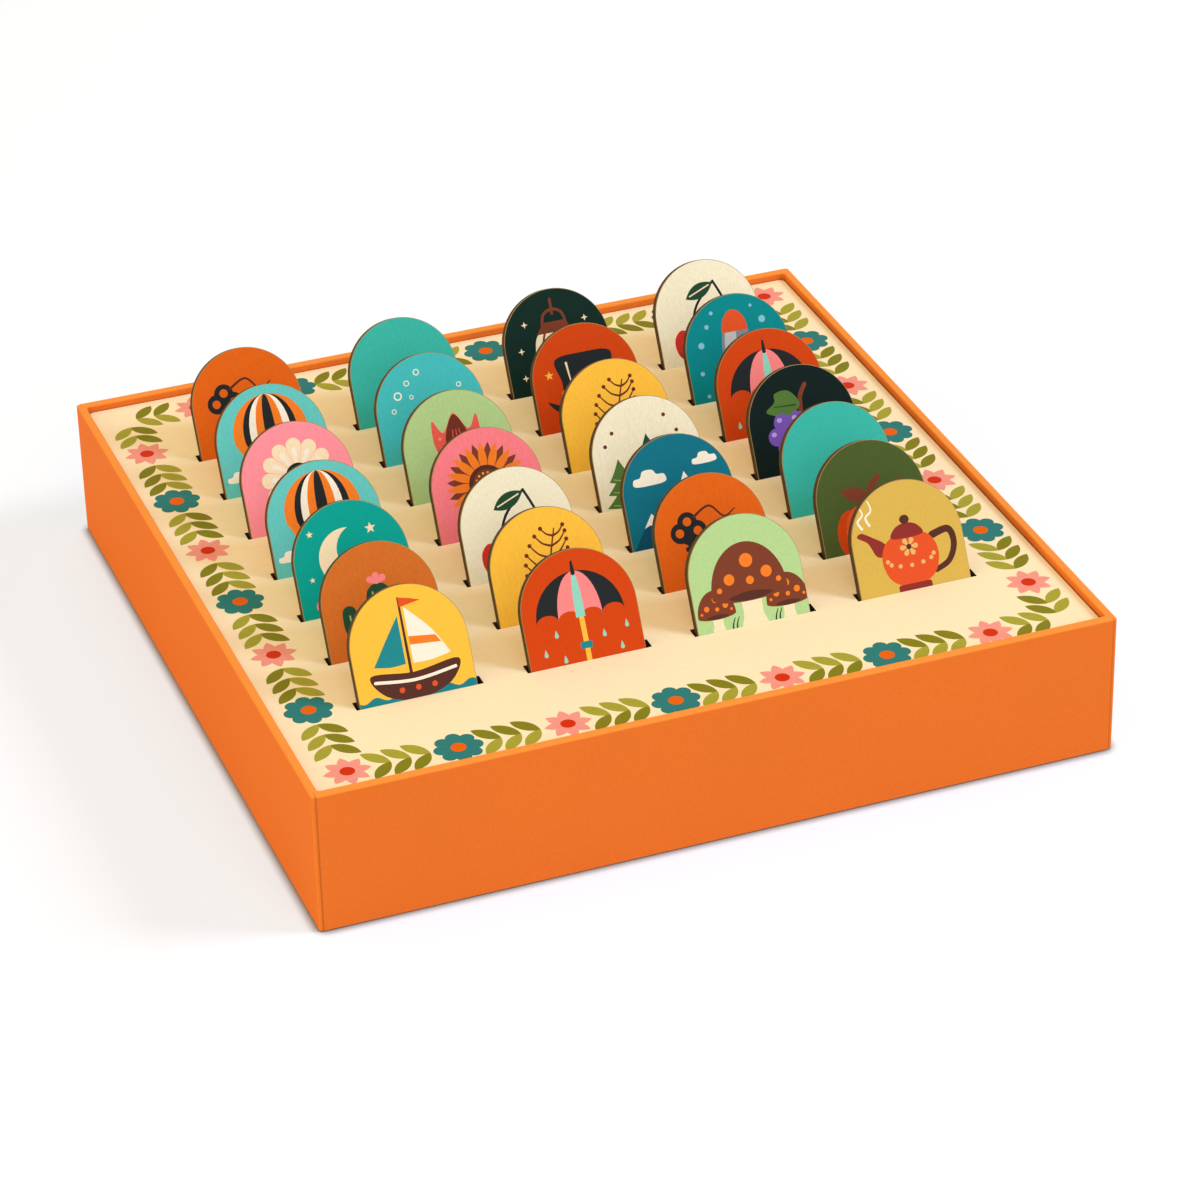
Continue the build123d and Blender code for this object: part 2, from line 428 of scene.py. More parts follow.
def balloon():
    """A striped hot-air balloon."""
    picture = pair("dark_brown", stroke([(3.4, 6), (2.2, 0.6)], 0.4))
    stripes = ((11.6, "orange"), (8.4, "black"), (6.4, "white"), (4.2, "orange"), (1.7, "black"))
    for wide, ink in stripes:
        skirt = [(-wide * 0.8, 11), (-wide * 0.3, 5.6), (wide * 0.3, 5.6), (wide * 0.8, 11)]
        picture += [(ink, arc(0, 17.4, wide, 11.6, -10, 190, 28) + skirt)]
    picture += [
        ("red_brown", slab(-3.7, 4.8, 3.7, 6.2, 0.5)),
        ("brown", slab(-2.9, -3.2, 2.9, 1, 0.8)),
        ("dark_brown", slab(-3.3, 0.4, 3.3, 1.4, 0.4)),
    ]
    picture += [("tan", stroke([(x, -2.4), (x, -0.6)], 0.5)) for x in (-1.5, 0, 1.5)]
    return picture + cloud("white", -12.2, 5.2, 0.55) + cloud("white", 11.8, 1.6, 0.62)


def daisy():
    """A daisy on its stem."""
    picture = [
        ("black", stroke([(0.6, 12), (0.2, 2), (-1.2, -12)], 1.3)),
        ("black", leaf(-0.6, -2, 12, 4.2, 150)),
        ("black", leaf(0, -4, 12.6, 4.2, 28)),
    ]
    picture += wreath("cream", 12, petal(0, 0, 11.4, 4.6, 0), 0.4, 15.6)
    picture += wreath("white", 12, petal(0, 0, 8.6, 1.6, 0), 0.4, 15.6)
    picture += [("black", disc(0.4, 15.6, 3.9)), ("yellow", disc(0.4, 15.6, 2.6))]
    return picture + wreath("black", 7, disc(1.5, 0, 0.35), 0.4, 15.6)


def key():
    """An old key on a string."""
    picture = spots("black", (-9.4, 16, 3), (-6.8, 18.8, 3), (-4.2, 16, 3), (-6.8, 15.4, 3.2))
    picture += spots("orange_paint", (-9.6, 16, 1.3), (-6.8, 19, 1.3), (-4, 16, 1.3))
    picture += [
        ("black", stroke([(-6.8, 14), (-6.8, -6)], 1.9)),
        ("black", slab(-6.8, -5.8, -1.6, -3.8, 0.4)),
        ("black", slab(-6.8, -2.6, -2.8, -0.8, 0.4)),
        ("black", slab(-8.6, 10.4, -5, 11.8, 0.5)),
        ("dark_brown", stroke([(-4.6, 20), (0.6, 22.4), (4.6, 18.6), (8.2, 20.2)], 0.8, 0.4)),
    ]
    return picture


def waves():
    """Low waves."""
    picture = []
    for y in (-3.2, -6, -8.8, -11.6):
        line = [(x, y + (0.7 if x % 8 else -0.7)) for x in range(-16, 17, 4)]
        picture += [("pale_mint", stroke(line, 0.8))]
    return picture


def anchor():
    """An anchor among bubbles."""
    arms = [(-6.6, 1.6), (-4.4, -3), (2.8, -5.8), (10, -3), (12.2, 1.6)]
    picture = spots("black", (2.8, 15.4, 2.7)) + spots("sky_blue", (2.8, 15.4, 1.4))
    picture += [
        ("black", stroke([(2.8, 13), (2.8, -4)], 2)),
        ("black", stroke([(-3.6, 10.4), (9.2, 10.4)], 1.7)),
        ("black", stroke(arms, 2.1)),
        ("black", [(-9.4, 0.4), (-3.6, 0.6), (-6.4, 5.2)]),
        ("black", [(9.2, 0.6), (15, 0.4), (12, 5.2)]),
    ]
    left = ((-9.6, 20.4, 1.3), (-6.2, 23.8, 0.9), (-11.6, 16, 0.8))
    right = ((-5.4, 19.4, 0.7), (-2.6, 26.6, 1), (10, 20.6, 0.8))
    for x, y, radius in left + right:
        picture += spots("white", (x, y, radius)) + spots("sky_blue", (x, y, radius * 0.66))
    return picture


def tulip():
    """A tulip with two leaves."""
    cup_top = [(-7, 23.6), (-4, 19.6), (0, 25), (4, 19.6), (7, 23.6)]
    cup_low = [(7.2, 15.4), (3.4, 10.4), (0, 9.6), (-3.4, 10.4), (-7.2, 15.4)]
    heart = [(0, 24.6), (3.6, 17.8), (2.2, 11.6), (0, 10.6), (-2.2, 11.6), (-3.6, 17.8)]
    picture = [
        ("red_brown", stroke([(0, 12), (0.2, 2), (-0.4, -14)], 1.4)),
        ("leaf_green", leaf(-0.2, -6, 17, 4.4, 118)),
        ("leaf_green", leaf(0.2, -8, 16, 4.4, 60)),
        ("coral", smooth(cup_top + cup_low)),
        ("red_brown", smooth(heart)),
    ]
    for x in (-1.2, 0, 1.2):
        picture += [("coral", stroke([(x, 12.6), (x * 1.2, 16), (x * 0.8, 20)], 0.5, 0.25))]
    for x, y in ((5.4, 18), (5.2, 15), (3.9, 12.6)):
        picture += pair("pink", disc(x, y, 0.5))
    return picture


def sunflower():
    """A sunflower."""
    picture = [
        ("dark_green", stroke([(0, 10), (0.6, -1), (0, -14)], 1.6)),
        ("dark_green", leaf(0.2, -4, 13, 5, 160)),
        ("dark_green", leaf(0.2, -2, 13, 5, 20)),
    ]
    picture += wreath("brown", 16, leaf(3, 0, 9.4, 2.7, 0), 0, 15.2, 11.25)
    picture += wreath("orange", 16, leaf(2.6, 0, 10, 2.5, 0), 0, 15.2)
    picture += spots("dark_brown", (0, 15.2, 5.6)) + spots("brown", (0, 15.2, 4.3))
    picture += wreath("yellow", 14, disc(3.3, 0, 0.34), 0, 15.2)
    return picture + spots("dark_brown", (0, 15.2, 2.2))


def cherries():
    """Two cherries on their stalks."""
    upper = [(0, 4.6), (3.2, 5.4), (5.6, 2.4), (4.8, -2.6)]
    lower = [(0, -5.4), (-4.8, -2.6), (-5.6, 2.4), (-3.2, 5.4)]
    shade = arc(0, 0, 4.9, 5, -170, -10, 14) + arc(0, 0, 4.9, 3, -10, -170, 14)[1:-1]
    picture = [
        ("black", stroke([(-6.2, 10), (-3, 18), (3.6, 24.6)], 0.8)),
        ("black", stroke([(6.4, 7.6), (6.8, 16), (3.6, 24.6)], 0.8)),
        ("dark_green", leaf(3.4, 24.2, 10.4, 4.6, 202)),
        ("cream", stroke([(2, 23.6), (-4.8, 21)], 0.4)),
    ]
    for x, y in ((-6.6, 5.6), (6.6, 3.2)):
        picture += [("red", moved(smooth(upper + lower), x, y))]
        picture += [("maroon", moved(shade, x, y))]
        picture += [("pink", moved(disc(0, 0, 0.7, 1.5), x - 2.4, y + 1.8, -24))]
    return picture


def fern():
    """A fern frond in thin brush strokes."""
    spine = [(-1.6, -12), (-0.6, 2), (0.6, 14), (3.8, 25)]
    picture = [("red_brown", stroke(spine, 0.9, 0.4))]
    line = track(spine, 8)
    for i in range(6, len(line) - 1, 2):
        x, y = line[i]
        reach = 6.6 * math.sin(math.pi * (len(line) - i) / (len(line) - 2)) + 1.6
        for side in (-1, 1):
            middle = (x + side * reach * 0.45, y + reach * 0.2)
            tip = (x + side * reach * 0.8, y + reach * 0.62)
            picture += [("red_brown", stroke([(x, y), middle, tip], 0.7, 0.35))]
            picture += spots("red_brown", (*tip, 0.62))
    return picture


def lantern():
    """A lit lantern among stars."""
    glass_left = [(-4.6, 5), (-6.6, 8.6), (-7.4, 13), (-5, 18.6)]
    glass_right = [(5, 18.6), (7.4, 13), (6.6, 8.6), (4.6, 5)]
    picture = [
        ("brown", stroke([(0, 28.6), (0, 24)], 0.9)),
        ("brown", stroke([(-4, 20), (-3, 24), (0, 25.4), (3, 24), (4, 20)], 0.9)),
        ("cream", smooth(glass_left + glass_right)),
        ("pale_mint", disc(0, 11.6, 3.8, 4.8)),
        ("orange", petal(0, 16, 7.4, 3.4, -90)),
        ("yellow", petal(0, 13.6, 4.6, 1.9, -90)),
        ("brown", [(-6.2, 18.2), (6.2, 18.2), (3.4, 21.6), (-3.4, 21.6)]),
        ("brown", slab(-6.4, 3.2, 6.4, 5.6, 0.6)),
        ("tan", slab(-7.4, 1.4, 7.4, 3.4, 0.6)),
    ]
    picture += pair("brown", stroke([(3.8, 5.4), (5.1, 12.4), (3.5, 18.4)], 0.7))
    places = ((-12, 14), (-9.6, 22), (10.2, 21), (12.4, 12.6), (11.4, 4.4), (-12.2, 5.6))
    return picture + [("cream", star(x, y, 1.1, 0.4, 4)) for x, y in places]


def hat():
    """A tall hat over a bow."""
    crown = [(-7.4, 8.6), (-7.9, 15), (-9, 22), (0, 23), (9, 22), (7.9, 15), (7.4, 8.6), (0, 7.6)]
    ribbon = [(-7.6, 9), (-7.8, 12.4), (0, 11.4), (7.8, 12.4), (7.6, 9), (0, 7.8)]
    brim = [(-13.4, 9.6), (-8, 7.4), (0, 6.6), (8, 7.4), (13.4, 9.6), (9, 5), (0, 3.6), (-9, 5)]
    bow = [(0, -5), (-3.4, -2.6), (-7, -1.6), (-7, -8.4), (-3.4, -7.4)]
    picture = [
        ("black", smooth(crown)),
        ("orange", smooth(ribbon)),
        ("black", smooth(brim)),
        ("cream", stroke([(-5.6, 20.6), (-5, 14.6)], 0.7, 0.4)),
    ]
    picture += pair("black", smooth(bow)) + spots("orange", (0, -5, 1.6))
    return picture + pair("yellow", star(11.6, 17.6, 1.5, 0.6, 5))


def fir(ink, x, y, scale):
    """One fir tree."""
    picture = [("brown", slab(-1.1, -1, 1.1, 5))]
    for low, wide, high in ((3.4, 8, 8.6), (8.6, 6.6, 8.4), (13.6, 5.2, 8.8)):
        slope = track([(0, low + high), (-wide * 0.5, low + high * 0.42), (-wide, low)])
        foot = track([(-wide, low), (0, low - 1), (wide, low)])
        picture += [(ink, slope + foot[1:] + flipped(slope)[-2:0:-1])]
        snow = [(-wide * 0.62, low + 0.9), (0, low + 0.1), (wide * 0.62, low + 0.9)]
        picture += [("pale_green", stroke(snow, 0.45))]
    return [(ink, moved(outline, x, y, 0, scale)) for ink, outline in picture]


def firs():
    """Three fir trees."""
    picture = [("pale_green", under_wave(-2, 1, 30, 6))]
    picture += fir("leaf_green", -9.4, -2, 0.74) + fir("leaf_green", 10.2, -2.4, 0.68)
    picture += fir("fir", 0.6, -3, 1.05)
    picture += spots("red_brown", (-12.6, 18.8, 0.6), (-9.8, 22.4, 0.6))
    return picture + spots("red_brown", (10.4, 19.8, 0.6), (13, 16, 0.6), (7.2, 25, 0.6))


def peaks():
    """Snowy peaks under clouds."""
    ridge = [(18, 2), (12, 12.6), (9, 9), (2.6, 20.4), (-5, 5), (-9.6, 10), (-18, -2)]
    snow = [(2.6, 20.4), (-1.8, 11.6), (0, 12.8), (1.6, 10.4)]
    snow += [(3.4, 12.6), (5.2, 10.8), (7.4, 11.8)]
    picture = [
        ("deep_blue", [(-18, -17), (18, -17), *ridge]),
        ("white", snow),
        ("white", [(-9.6, 10), (-12.4, 6), (-10.4, 6.8), (-9, 5.4), (-7.4, 7.6)]),
        ("white", [(12, 12.6), (10, 10.3), (11.6, 9.4), (13, 10.2), (14, 9.2)]),
    ]
    picture += cloud("white", -8.2, 19.6, 0.8) + cloud("white", 9.6, 22.6, 0.6)
    for y in (-6, -9.6):
        line = [(-16, y), (-6, y + 1.4), (5, y - 0.4), (16, y + 1)]
        picture += [("blue_green", stroke(line, 0.8))]
    return picture


def rocket():
    """A rocket among stars."""
    hull_right = [(0, 26.8), (4.2, 20.4), (5.2, 12), (3.6, 3.2)]
    hull_left = [(0, 2.4), (-3.6, 3.2), (-5.2, 12), (-4.2, 20.4)]
    gleam = [(0, 26), (-3.4, 20), (-4.3, 12), (-2.8, 3.8), (-0.4, 12)]
    picture = [
        ("orange", petal(0, 3.4, 9.4, 5.2, -90)),
        ("yellow", petal(0, 3.4, 5.8, 2.8, -90)),
    ]
    picture += pair("orange_red", smooth([(-4, 9.6), (-8.4, 5.4), (-8.8, 0.8), (-3.6, 4.4)]))
    picture += [
        ("grey", smooth(hull_right + hull_left)),
        ("light_grey", smooth(gleam)),
        ("orange_red", arc(0, 20.2, 4.3, 6.8, 0, 180, 18)),
        ("black", disc(0, 14.4, 2.9)),
        ("pale_blue", disc(0, 14.4, 2)),
        ("black", slab(-3.8, 6.2, 3.8, 7.2)),
    ]
    left = ((-11.8, 17.6, 1), (-9, 23, 0.7), (-13, 9, 0.7), (-12.2, 1.8, 0.6), (-6.8, 27, 0.6))
    right = ((9.4, 22.4, 1.1), (12.4, 15.4, 0.7), (12.6, 7, 1), (10.8, 0.6, 0.6), (6.4, 27.2, 0.5))
    return picture + spots("pale_blue", *left, *right)


def grapes():
    """A bunch of grapes."""
    vine_leaf = [(0, 20.4), (-3, 24.6), (-7.4, 24.4), (-8, 21.8)]
    vine_leaf += [(-11, 19.4), (-8.2, 17.6), (-6.6, 15.6), (-2.6, 17.4)]
    picture = [
        ("brown", stroke([(0, 18), (0.6, 22.4), (2.6, 25.6)], 1.4)),
        ("leaf_green", smooth(vine_leaf)),
        ("dark_green", stroke([(-1.4, 20), (-8.2, 20.4)], 0.5, 0.3)),
    ]
    for row, count in enumerate((4, 5, 4, 3, 2, 1)):
        for i in range(count):
            x = (i - (count - 1) / 2) * 4.9 + 0.8
            y = 15.4 - row * 4
            picture += [("purple", disc(x, y, 2.75))]
            picture += [("lilac", disc(x - 0.8, y + 0.9, 0.85, 0.7))]
    return picture


def pumpkin():
    """A pumpkin with a curled stalk."""
    picture = [("brown", stroke([(0, 13), (0.2, 17.6), (3, 20.6)], 2.6, 1.8))]
    picture += [("brown", leaf(0.4, 14.8, 10.4, 4.4, 160))]
    picture += pair("red_orange", disc(7.6, 5.2, 4.8, 7.4))
    picture += pair("orange_red", disc(4.6, 5.2, 5, 8.1))
    picture += [("orange", disc(0, 5.2, 4.4, 9.2))]
    for x in (2.4, 5.4):
        rib = [(x, -1.4), (x * 1.3, 5), (x * 0.9, 11.2)]
        picture += pair("brown", stroke(rib, 0.45, 0.25))
    curl = [(2.4, 15.4), (6.4, 17.4), (9.4, 15.6), (10.8, 18), (9.2, 19.6)]
    return picture + [("brown", stroke(curl, 0.6, 0.3))]


def tile_back():
    """The back of every tile: a round flower."""
    middle = 10.6
    picture = wreath("blue_green", 8, petal(2.2, 0, 8.2, 4.6, 0), 0, middle, 22.5)
    picture += wreath("lime", 8, leaf(6, 0, 6.2, 1.9, 0), 0, middle)
    return picture + spots("orange", (0, middle, 3)) + spots("orange_red", (0, middle, 1.5))


# The ground ink of each picture
GROUNDS = {
    key: "orange_paint",
    balloon: "turquoise",
    daisy: "rose",
    moon: "sea_green",
    cactus: "burnt_orange",
    boat: "sun_yellow",
    waves: "teal",
    anchor: "sky_blue",
    tulip: "light_green",
    sunflower: "coral_pink",
    cherries: "ivory",
    fern: "sun_yellow",
    umbrella: "red_orange",
    lantern: "black_green",
    hat: "red_orange",
    firs: "ivory",
    peaks: "blue",
    mushrooms: "mint",
    rocket: "dark_teal",
    grapes: "night",
    pumpkin: "moss",
    teapot: "sand",
}

# The back row comes first, and each row runs from left to right.
LAYOUT = (
    (key, waves, lantern, cherries),
    (balloon, anchor, hat, rocket),
    (daisy, tulip, fern, umbrella),
    (balloon, sunflower, firs, grapes),
    (moon, cherries, peaks, waves),
    (cactus, fern, key, pumpkin),
    (boat, umbrella, mushrooms, teapot),
)


# Materials. Grains and reliefs are in millimetres. A finish is roughness, shine and relief.

TILE_GRAIN = (0.27, 0.27, 1.3)
DECK_GRAIN = (2.2, 0.35, 0.35)
DECK_STREAKS = (3.5, 0.35, 0.35)
INK_CLOUDS = (9.0, 9.0, 9.0)
PAPER_FIBRES = (0.5, 0.5, 0.5)
PAPER_CLOUDS = (38.0, 38.0, 38.0)
RUB_GRAIN = (1.2, 1.2, 3.0)
BROAD_RANGE = (0.3, 0.7)
INK_RANGE = (0.32, 0.68)
INK_CONTRAST = 0.035
PAPER_CONTRAST = 0.03
FLECK_RANGE = (0.48, 0.62)
INK_FINISH = ((0.5, 0.66), 0.06, 0.04)
BOARD_FINISH = ((0.75, 0.95), 0.1, 0.08)
PAPER_FINISH = ((0.5, 0.62), 0.02, 0.02)
DECK_RELIEF = 0.03
DECK_CREAM = (252, 233, 190)
TILE_EDGE_LINE = (164, 136, 92)

# The cover's rubbed corners, a painted highlight over the top of its rim, and the dark line beside
# a lap
CORNER_RUB = (1.6, 0.3)
CORNER_WEAR = 0.4
RIM_HIGHLIGHT_DEPTH = 0.6
RIM_HIGHLIGHT_SHARE = 0.9
LAP_LINE = (0.1, 0.35)
LAP_FACE = (1.0, 0.4)
LAP_SHADE = 0.55


def linear(colour, factor=1.0):
    """A colour of 0 to 255 a channel, made darker or lighter, as the shader takes it."""
    shares = [min(channel * factor, 255) / 255 for channel in colour]
    return [s / 12.92 if s <= 0.04045 else ((s + 0.055) / 1.055) ** 2.4 for s in shares] + [1.0]


def node(tree, kind, sockets=None, **settings):
    """Adds a node. A socket given as a value is joined, and anything else is set."""
    made = tree.nodes.new("ShaderNode" + kind)
    for name, value in settings.items():
        setattr(made, name, value)
    for name, value in (sockets or {}).items():
        if isinstance(value, bpy.types.NodeSocket):
            tree.links.new(value, made.inputs[name])
        else:
            made.inputs[name].default_value = value
    return made


def maths(tree, operation, first, second=0.0):
    """The result of a math node on numbers or sockets."""
    return node(tree, "Math", {0: first, 1: second}, operation=operation).outputs[0]


def blended(tree, factor, first, second):
    """The colour between two colours or sockets."""
    mix = node(tree, "Mix", {0: factor, 6: first, 7: second}, data_type="RGBA")
    return mix.outputs[2]


def spread(tree, value, low, high, start=0.0, end=1.0):
    """A value carried from the range low to high over to start to end."""
    sockets = {"Value": value, "From Min": low, "From Max": high, "To Min": start, "To Max": end}
    return node(tree, "MapRange", sockets).outputs[0]


def grain(tree, size, lean=0.0, detail=3.0):
    """Noise whose grains have the given sizes in millimetres, on axes leant back by degrees."""
    place = node(tree, "TexCoord").outputs["Object"]
    turn = (math.radians(-lean), 0, 0)
    scale = [side * MM for side in size]
    sockets = {"Vector": place, "Rotation": turn, "Scale": scale}
    mapping = node(tree, "Mapping", sockets, vector_type="TEXTURE")
    sockets = {"Vector": mapping.outputs[0], "Scale": 1.0, "Detail": detail, "Roughness": 0.6}
    return node(tree, "TexNoise", sockets).outputs[0]


def new_material(name):
    """An empty material and its shader."""
    material = bpy.data.materials.new(name)
    material.use_nodes = True
    tree = material.node_tree
    return material, tree, tree.nodes["Principled BSDF"]


def set_relief(tree, shader, height, depth, strength=0.5):
    """Gives the surface a relief of the depth in millimetres."""
    bump = node(tree, "Bump", {"Height": height, "Distance": depth * MM, "Strength": strength})
    tree.links.new(bump.outputs[0], shader.inputs["Normal"])


def set_finish(tree, shader, colour, noise, roughness, shine, depth):
    """Joins the colour, and lets the noise shape the roughness and the relief."""
    tree.links.new(colour, shader.inputs["Base Color"])
    tree.links.new(spread(tree, noise, *BROAD_RANGE, *roughness), shader.inputs["Roughness"])
    shader.inputs["Specular IOR Level"].default_value = shine
    set_relief(tree, shader, noise, depth)


def printed(name, colour, size, lean=0.0):
    """Ink on a grained ground: a little darker in the grain, and thin in places."""
    material, tree, shader = new_material(name)
    fine = grain(tree, size, lean)
    broad = grain(tree, INK_CLOUDS, lean, 2.0)
    deep, thin = linear(colour, 1 - INK_CONTRAST), linear(colour, 1 + INK_CONTRAST)
    body = blended(tree, spread(tree, fine, *INK_RANGE), deep, thin)
    share = spread(tree, broad, *BROAD_RANGE, 0.0, 0.25)
    set_finish(tree, shader, blended(tree, share, body, linear(colour)), fine, *INK_FINISH)
    return material


def board(name, colour, fleck, size, lean=0.0):
    """Pressed board: flecks of a second colour in clouds of two sizes."""
    material, tree, shader = new_material(name)
    fine = grain(tree, size, lean, 4.0)
    broad = grain(tree, [side * 9 for side in size], lean, 2.0)
    flecks = spread(tree, fine, *FLECK_RANGE, 0.0, 0.6)
    flecked = blended(tree, flecks, linear(colour), linear(fleck))
    clouds = spread(tree, broad, *BROAD_RANGE, 0.0, 0.3)
    clouded = blended(tree, clouds, flecked, linear(colour, 0.8))
    set_finish(tree, shader, clouded, fine, *BOARD_FINISH)
    return material, tree, shader, clouded


def paper(name, colour, wear_and_highlight, seam=0.0):
    """Covering paper with fine fibres, paler where corners rub, and with a painted highlight over
    the rim.
    """
    material, tree, shader = new_material(name)
    fibres = grain(tree, PAPER_FIBRES, 0.0, 4.0)
    broad = grain(tree, PAPER_CLOUDS, 0.0, 2.0)
    dark, light = linear(colour, 1 - PAPER_CONTRAST), linear(colour, 1 + PAPER_CONTRAST)
    body = blended(tree, spread(tree, fibres, *BROAD_RANGE), dark, light)
    clouds = spread(tree, broad, *BROAD_RANGE, 0.0, 0.3)
    clouded = blended(tree, clouds, body, linear(colour, 0.96))
    sides = node(tree, "SeparateXYZ", {0: node(tree, "TexCoord").outputs["Object"]})
    x, y = [maths(tree, "ABSOLUTE", sides.outputs[i]) for i in (0, 1)]
    corner = maths(tree, "MINIMUM", x, y)
    near_corner = spread(tree, corner, *[(BOX_HALF - side) * MM for side in CORNER_RUB])
    rubbed = maths(tree, "MULTIPLY", near_corner, grain(tree, RUB_GRAIN))
    faint = maths(tree, "MULTIPLY", rubbed, CORNER_WEAR)
    # Painted highlight: the paper turns towards its paler second colour over the top of the rim,
    # standing in for light caught there.
    rim = ((WALL_HEIGHT - RIM_HIGHLIGHT_DEPTH) * MM, WALL_HEIGHT * MM)
    rim_highlight = spread(tree, sides.outputs[2], *rim, 0.0, RIM_HIGHLIGHT_SHARE)
    plain = blended(tree, maths(tree, "MAXIMUM", faint, rim_highlight), clouded, linear(wear_and_highlight))
    off_lap = maths(tree, "ABSOLUTE", maths(tree, "SUBTRACT", x, (BOX_HALF - FLAP_INSET) * MM))
    line = spread(tree, off_lap, *[side * MM for side in LAP_LINE], seam, 0.0)
    outside = spread(tree, y, *[(BOX_HALF - side) * MM for side in LAP_FACE])
    on_lap = maths(tree, "MULTIPLY", line, outside)
    finished = blended(tree, on_lap, plain, linear(colour, LAP_SHADE))
    set_finish(tree, shader, finished, fibres, *PAPER_FINISH)
    return material


def facing(tree, direction, low, high):
    """1 where the surface faces the direction, 0 where it turns away."""
    normal = node(tree, "TexCoord").outputs["Normal"]
    dot = node(tree, "VectorMath", {0: normal, 1: direction}, operation="DOT_PRODUCT")
    return spread(tree, dot.outputs["Value"], low, high)


def deck_material():
    """The deck: cream print above, bare board on its cut edges."""
    pressed = ((74, 52, 34), (120, 92, 62), (0.4, 0.4, 0.4))
    material, tree, shader, bare = board("deck_board", *pressed)
    streaks = grain(tree, DECK_STREAKS)
    dark, light = linear(DECK_CREAM, 0.985), linear(DECK_CREAM, 1.01)
    top = blended(tree, spread(tree, streaks, *BROAD_RANGE), dark, light)
    finished = blended(tree, facing(tree, (0, 0, 1), 0.6, 0.9), bare, top)
    tree.links.new(finished, shader.inputs["Base Color"])
    set_relief(tree, shader, streaks, DECK_RELIEF)
    return material


def tile_material():
    """The tiles' bodies: brown pressed board, with a pale line where its paper faces end."""
    lean = math.radians(TILE_LEAN)
    front = (0, -math.cos(lean), math.sin(lean))
    back = (0, math.cos(lean), -math.sin(lean))
    pressed = ((74, 57, 34), (140, 112, 74), (0.3, 0.3, 0.3), TILE_LEAN)
    material, tree, shader, core = board("tile_board", *pressed)
    faces = [facing(tree, direction, 0.2, 0.5) for direction in (front, back)]
    finished = blended(tree, maths(tree, "ADD", *faces), core, linear(TILE_EDGE_LINE))
    tree.links.new(finished, shader.inputs["Base Color"])
    return material


# Each paper's second colour is its paler tone where the corners rub, and also its painted
# highlight over the rim.
CAD_MATERIALS = {
    "covering_paper": paper("orange_paper", (232, 120, 46), (246, 152, 65), seam=0.32),
    "plain_paper": paper("white_paper", (232, 228, 218), (240, 238, 230)),
    "tape_paper": paper("kraft_paper", (186, 148, 102), (200, 168, 124)),
    "greyboard": board("greyboard", (150, 146, 138), (196, 192, 182), (0.6, 0.6, 0.6))[0],
    "deck_wood": deck_material(),
    "tile": tile_material(),
}


def dress_cad():
    """Gives every carried-over node the material of its slot."""
    for name, slot in SLOTS.items():
        kind = "tile" if slot.startswith("tile_") else slot
        mesh = frame["nodes"][name].data
        mesh.materials.clear()
        mesh.materials.append(CAD_MATERIALS[kind])


# Printed films


def turned_left(outline):
    """The outline with its inside on the left of its line."""
    area = 0.0
    for (ax, ay), (bx, by) in zip(outline, outline[1:] + outline[:1]):
        area += ax * by - bx * ay
    return outline if area > 0 else outline[::-1]


def cut_film(shapes, ground):
    """Triangles of a film, each with the ink that was laid down last there."""
    corners, outlines = [], []
    for _, outline in shapes:
        first = len(corners)
        corners += [Vector(corner) for corner in turned_left(outline)]
        outlines.append(list(range(first, len(corners))))
    points, _, faces, _, _, sources = delaunay_2d_cdt(corners, [], outlines, 1, 0.0001)
    cut = []
    for face, layers in zip(faces, sources):
        if layers and (not ground or 0 in layers):
            cut.append((face, shapes[max(layers)][0]))
    return points, cut


def add_piece(name, corners, faces, materials, slots):
    """A new mesh object, with the place in the materials of each face."""
    mesh = bpy.data.meshes.new(name)
    mesh.from_pydata(corners, [], faces)
    for material in materials:
        mesh.materials.append(material)
    mesh.polygons.foreach_set("material_index", slots)
    mesh.update()
    piece = bpy.data.objects.new(name, mesh)
    bpy.context.scene.collection.objects.link(piece)
    return piece


def film(name, shapes, place, thickness, inks, ground=True):
    """A printed film as one closed mesh, with a material for each ink."""
    points, cut = cut_film(shapes, ground)
    used = sorted({corner for face, _ in cut for corner in face})
    order = {corner: i for i, corner in enumerate(used)}
    count = len(used)
    tops = [place @ (Vector((*points[corner], thickness)) * MM) for corner in used]
    feet = [place @ (Vector((*points[corner], 0.0)) * MM) for corner in used]
    names = sorted({ink for _, ink in cut})
    faces, slots, rim = [], [], {}
    for face, ink in cut:
        ring = [order[corner] for corner in face]
        slot = names.index(ink)
        faces += [ring, [corner + count for corner in reversed(ring)]]
        slots += [slot, slot]
        for a, b in zip(ring, ring[1:] + ring[:1]):
            if (b, a) in rim:
                del rim[b, a]
            else:
                rim[a, b] = slot
    for (a, b), slot in rim.items():
        faces.append([a + count, b + count, b, a])
        slots.append(slot)
    return add_piece(name, tops + feet, faces, [inks[ink] for ink in names], slots)


TILE_INKS = {
    paint: printed("ink_" + paint, rgb, TILE_GRAIN, TILE_LEAN)
    for paint, rgb in TILE_PAINTS.items()
}
DECK_INKS = {
    paint: printed("deck_ink_" + paint, rgb, DECK_GRAIN) for paint, rgb in GARLAND_PAINTS.items()
}


def tile_ground():
    """The outline of a tile's printed face: an arch with rounded feet."""
    half = TILE_HALF - FILM_INSET
    middle = TILE_SHOWN - TILE_HALF
    low = FILM_INSET - TILE_HIDDEN
    foot = TILE_FOOT_ROUND - FILM_INSET
    outline = arc(0, middle, half, half, 0, 180, 48)
    outline += arc(foot - half, low + foot, foot, foot, 180, 270, 8)
    outline += arc(half - foot, low + foot, foot, foot, 270, 360, 8)
    return outline


